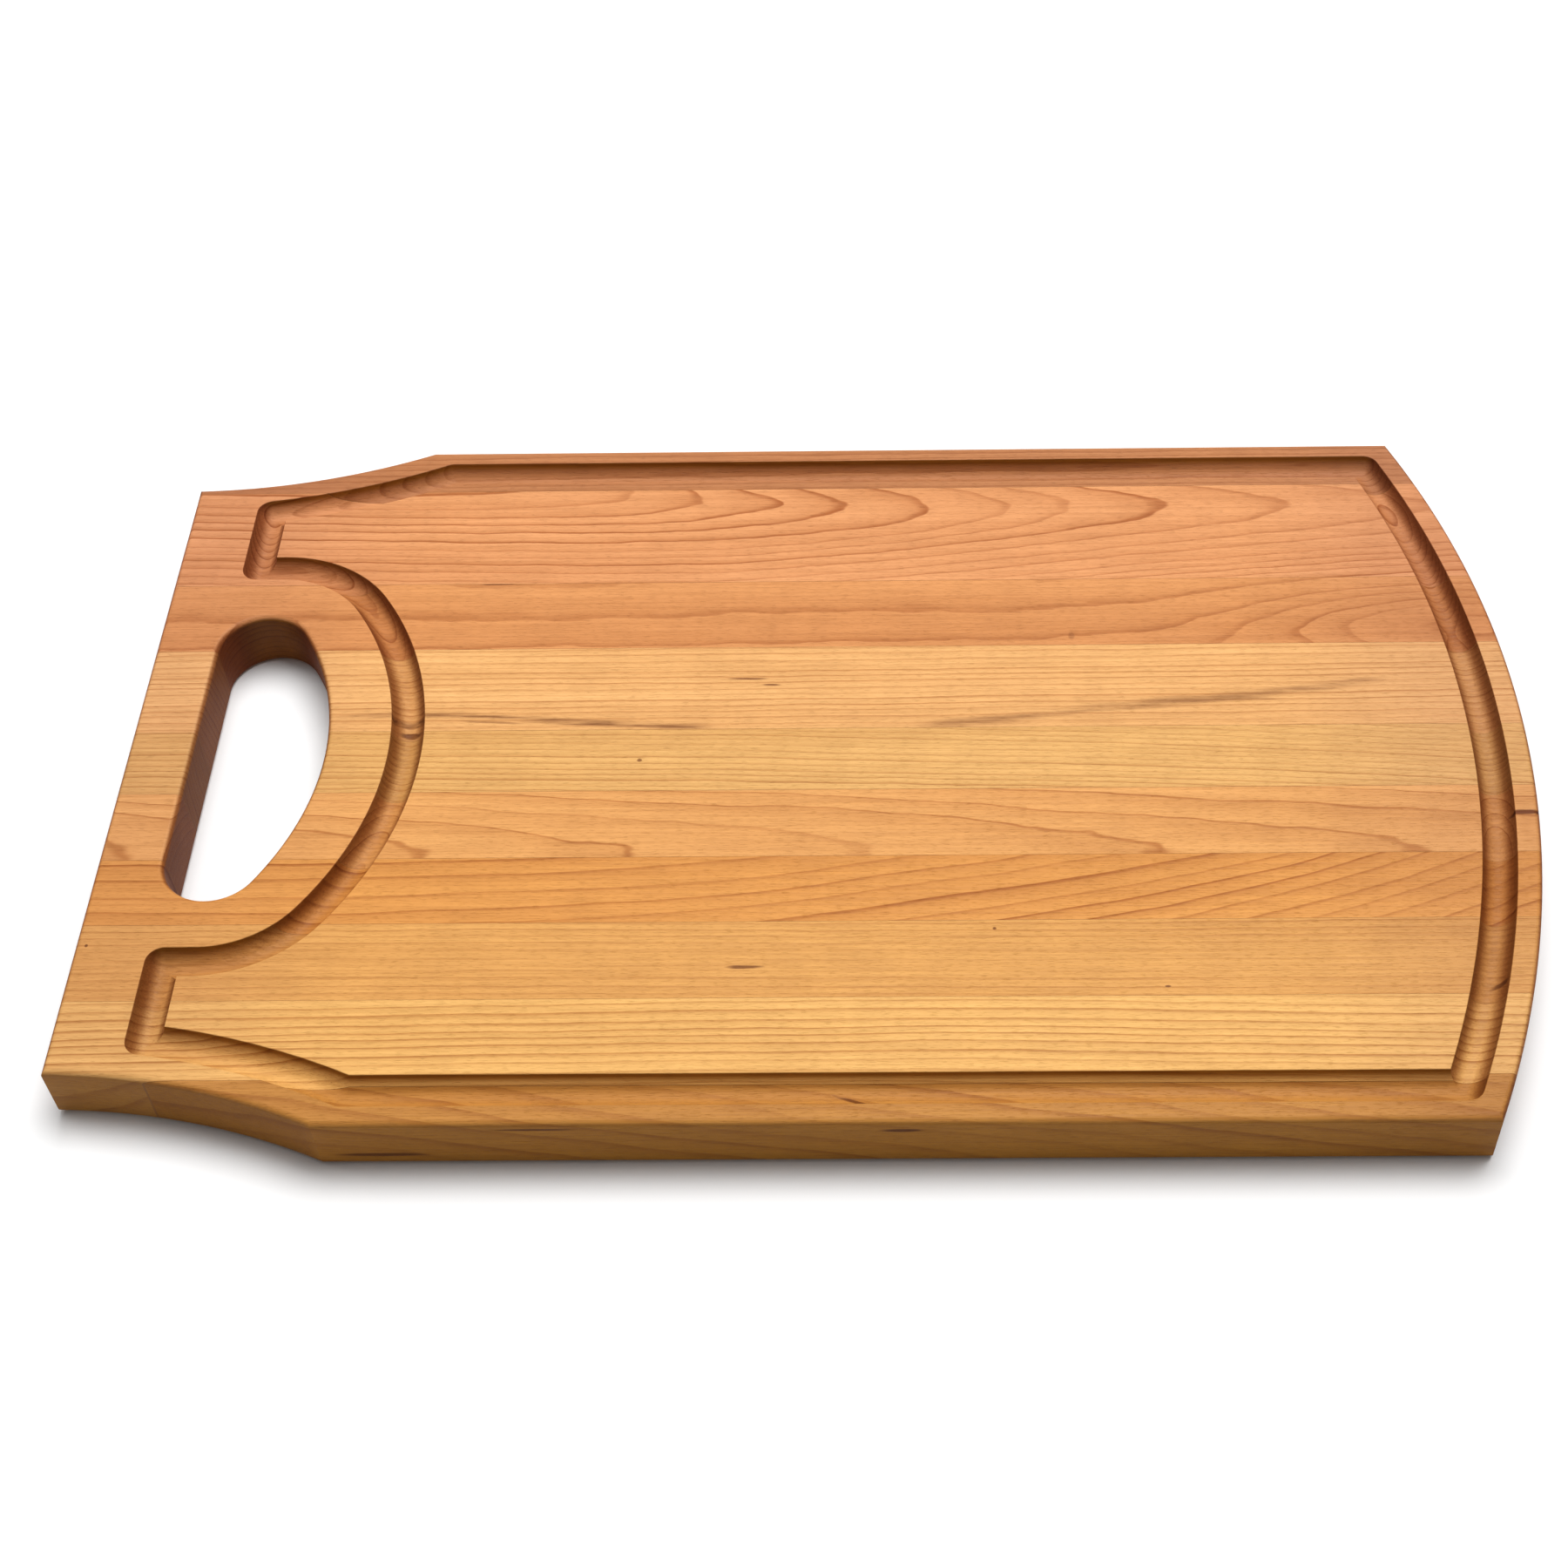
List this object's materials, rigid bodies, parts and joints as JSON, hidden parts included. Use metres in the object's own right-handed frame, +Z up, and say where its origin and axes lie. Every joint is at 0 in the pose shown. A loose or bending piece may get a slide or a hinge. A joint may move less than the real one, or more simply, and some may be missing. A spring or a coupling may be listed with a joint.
{
  "type": "cutting board",
  "caption": "Edge-glued hardwood cutting board with a bowed end, a tapered handle end with a D-shaped hand hole, and a round-bottomed juice groove that bends round the hole.",
  "frame": {"origin": "centre of the board's plan at its underside", "axes": "+X along the staves from the handle end to the rounded end, +Y towards the back edge, +Z up out of the grooved face"},
  "size_m": [0.4064, 0.254, 0.0191],
  "materials": {
    "cherry_a": "oiled cherry, satin",
    "cherry_b": "oiled cherry, satin",
    "cherry_c": "oiled cherry, satin",
    "cherry_d": "oiled cherry, satin",
    "cherry_e": "oiled cherry, satin",
    "cherry_f": "oiled cherry, satin",
    "cherry_g": "oiled cherry, satin",
    "cherry_h": "oiled cherry, satin",
    "cherry_i": "oiled cherry, satin",
    "cherry_j": "oiled cherry, satin",
    "glue": "dark wood glue line, matte"
  },
  "bodies": {
    "root": {"stave_a": "cherry_a", "stave_b": "cherry_b", "stave_c": "cherry_c", "stave_d_grip": "cherry_d", "stave_d_main": "cherry_d", "stave_e_grip": "cherry_e", "stave_e_main": "cherry_e", "stave_f_grip": "cherry_f", "stave_f_main": "cherry_f", "stave_g": "cherry_g", "stave_h": "cherry_h", "stave_i": "cherry_i", "stave_j": "cherry_j", "glue_line_ab": "glue", "glue_line_bc": "glue", "glue_line_cd_grip": "glue", "glue_line_cd_main": "glue", "glue_line_de_grip": "glue", "glue_line_de_main": "glue", "glue_line_ef_grip": "glue", "glue_line_ef_main": "glue", "glue_line_fg_grip": "glue", "glue_line_fg_main": "glue", "glue_line_gh": "glue", "glue_line_hi": "glue", "glue_line_ij": "glue"}
  },
  "joints": []
}
